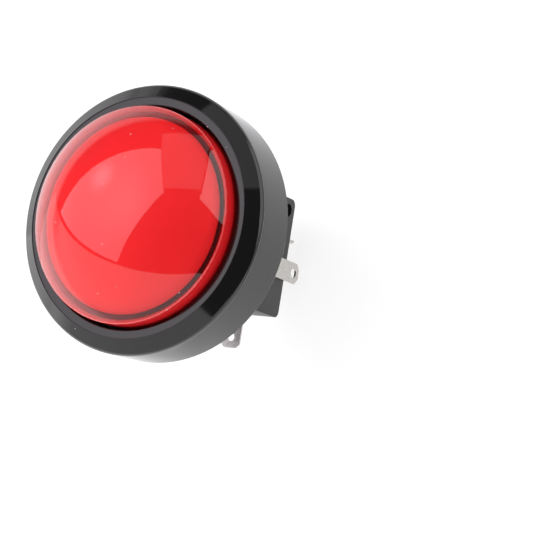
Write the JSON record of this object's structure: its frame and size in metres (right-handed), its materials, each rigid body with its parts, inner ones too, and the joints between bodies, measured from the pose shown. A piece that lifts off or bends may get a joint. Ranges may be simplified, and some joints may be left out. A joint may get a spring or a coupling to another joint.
{
  "type": "arcade push button",
  "caption": "Round illuminated push button: a glossy dome in a bevelled bezel on a threaded stem with a nut, pressing a clip-on microswitch behind a wedge-base lamp.",
  "frame": {"origin": "centre of the bezel's seat on the panel, on the button's axis", "axes": "+Z along the button's axis towards the dome, X along the switch's length with its actuator on the +X side, Y through the switch's thickness with the holder's winged plate on the +Y side"},
  "size_m": [0.0594, 0.0594, 0.0788],
  "materials": {
    "bezel_black": "gloss",
    "nut_black": "satin",
    "lens_red": "gloss, clear",
    "diffuser_red": "satin",
    "plunger_black": "satin",
    "spring_steel": "drawn wire",
    "holder_black": "satin",
    "terminal_metal": "bright strip",
    "lamp_red": "gloss",
    "led_clear": "gloss",
    "lead_metal": "tinned wire",
    "switch_black": "satin",
    "switch_red": "satin",
    "actuator_black": "satin",
    "blade_metal": "spring strip",
    "contact_silver": "satin"
  },
  "bodies": {
    "base": {"housing": "bezel_black", "mounting_nut": "nut_black", "return_spring": "spring_steel", "lamp_holder": "holder_black", "lamp_contact_upper": "terminal_metal", "lamp_contact_lower": "terminal_metal", "lamp_body": "lamp_red", "lamp_led": "led_clear", "lamp_lead_left": "lead_metal", "lamp_lead_right": "lead_metal", "switch_base": "switch_black", "switch_cover": "switch_red", "com_terminal": "terminal_metal", "no_terminal": "terminal_metal", "nc_terminal": "terminal_metal", "no_contact": "contact_silver", "nc_contact": "contact_silver"},
    "dome": {"dome_lens": "lens_red", "diffuser": "diffuser_red", "plunger": "plunger_black"},
    "actuator": {"switch_actuator": "actuator_black"},
    "blade": {"snap_blade": "blade_metal", "moving_contact": "contact_silver"}
  },
  "joints": [
    {"name": "dome_press", "type": "slide", "parent": "base", "child": "dome", "axis": [0, 0, -1], "range_m": [0, 0.0025], "stiffness_N_per_m": 280, "springref_m": -0.003, "deforming": ["return_spring"]},
    {"name": "actuator_press", "type": "slide", "parent": "base", "child": "actuator", "axis": [0, 0, -1], "range_m": [0, 0.0025]},
    {"name": "blade_tilt", "type": "hinge", "parent": "base", "child": "blade", "pos_m": [-0.0046, 0, -0.03075], "axis": [0, 1, 0], "range_deg": [0, 10.8]}
  ],
  "couplings": [
    {"joint": "actuator_press", "follows": "dome_press", "ratio": 1},
    {"joint": "blade_tilt", "follows": "dome_press", "rad_per_m": 75}
  ]
}
